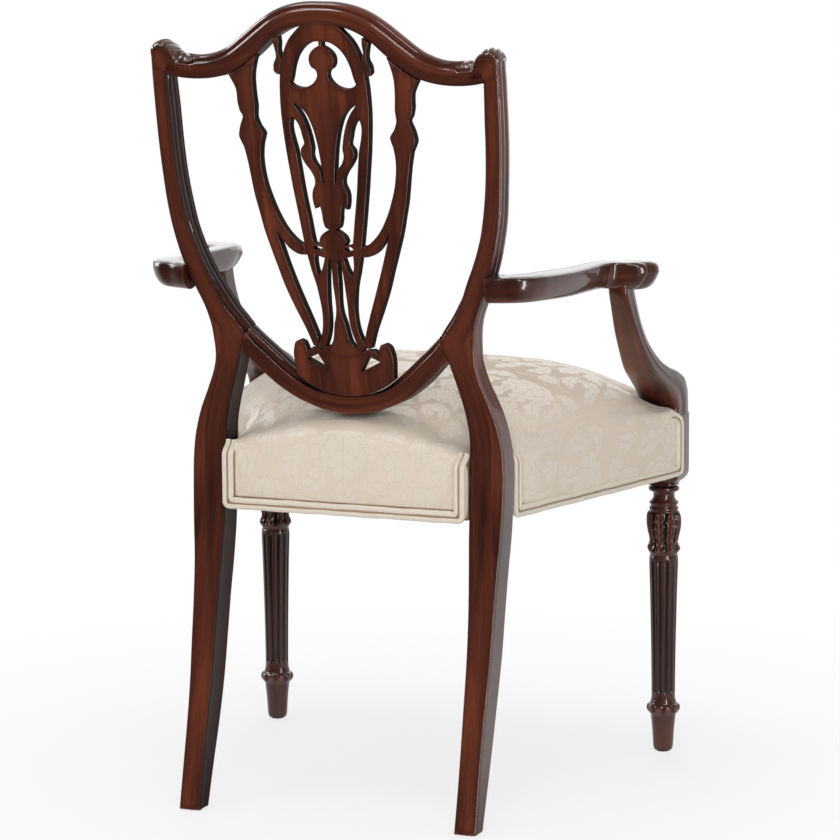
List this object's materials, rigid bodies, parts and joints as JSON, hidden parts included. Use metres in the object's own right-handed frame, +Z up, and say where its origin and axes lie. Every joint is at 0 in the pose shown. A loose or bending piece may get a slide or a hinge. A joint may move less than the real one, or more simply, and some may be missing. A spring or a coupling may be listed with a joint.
{
  "type": "shield back armchair",
  "caption": "Wooden dining armchair with a shield-shaped pierced back, scrolled arms, reeded turned front legs, raked rear legs and a crowned damask seat with double welts.",
  "frame": {"origin": "on the floor under the middle of the chair's bounding box", "axes": "+Z up, -Y the way the sitter faces, +X to the sitter's left"},
  "size_m": [0.61, 0.5329, 0.97],
  "materials": {
    "mahogany": "polished, dark glaze in the recesses",
    "dark_mahogany": "polished, carved, dark glaze in the recesses",
    "frame_wood": "bare planed hardwood",
    "plywood": "bare sanded plywood",
    "damask": "woven damask, satin leaf on a matt ground",
    "welt_cord": "woven cover over double cord",
    "dust_cloth": "black non-woven cloth",
    "screw_steel": "zinc-plated",
    "glide_plastic": "moulded nylon"
  },
  "bodies": {
    "root": {"left_rear_post": "mahogany", "right_rear_post": "mahogany", "crest_rail": "mahogany", "left_shield_rim": "mahogany", "right_shield_rim": "mahogany", "splat_center": "mahogany", "left_splat_bar": "mahogany", "right_splat_bar": "mahogany", "splat_base": "mahogany", "left_arm": "mahogany", "right_arm": "mahogany", "left_arm_support": "mahogany", "right_arm_support": "mahogany", "left_corner_post": "mahogany", "right_corner_post": "mahogany", "left_ear_cap": "dark_mahogany", "right_ear_cap": "dark_mahogany", "left_splat_leaf": "dark_mahogany", "right_splat_leaf": "dark_mahogany", "left_front_leg": "dark_mahogany", "right_front_leg": "dark_mahogany", "left_arm_dowel": "frame_wood", "right_arm_dowel": "frame_wood", "left_leg_dowel": "frame_wood", "right_leg_dowel": "frame_wood", "left_side_rail": "frame_wood", "right_side_rail": "frame_wood", "front_rail": "frame_wood", "rear_rail": "frame_wood", "left_front_corner_block": "frame_wood", "right_front_corner_block": "frame_wood", "left_rear_corner_block": "frame_wood", "right_rear_corner_block": "frame_wood", "seat_board": "plywood", "seat_cushion": "damask", "left_side_panel": "damask", "right_side_panel": "damask", "rear_panel": "damask", "front_panel": "damask", "left_side_welt": "welt_cord", "right_side_welt": "welt_cord", "rear_welt": "welt_cord", "front_welt": "welt_cord", "dust_cover": "dust_cloth", "left_front_block_screw": "screw_steel", "right_front_block_screw": "screw_steel", "left_front_side_screw": "screw_steel", "right_front_side_screw": "screw_steel", "left_rear_block_screw": "screw_steel", "right_rear_block_screw": "screw_steel", "left_rear_side_screw": "screw_steel", "right_rear_side_screw": "screw_steel", "left_front_glide": "glide_plastic", "right_front_glide": "glide_plastic", "left_rear_glide": "glide_plastic", "right_rear_glide": "glide_plastic"}
  },
  "joints": []
}
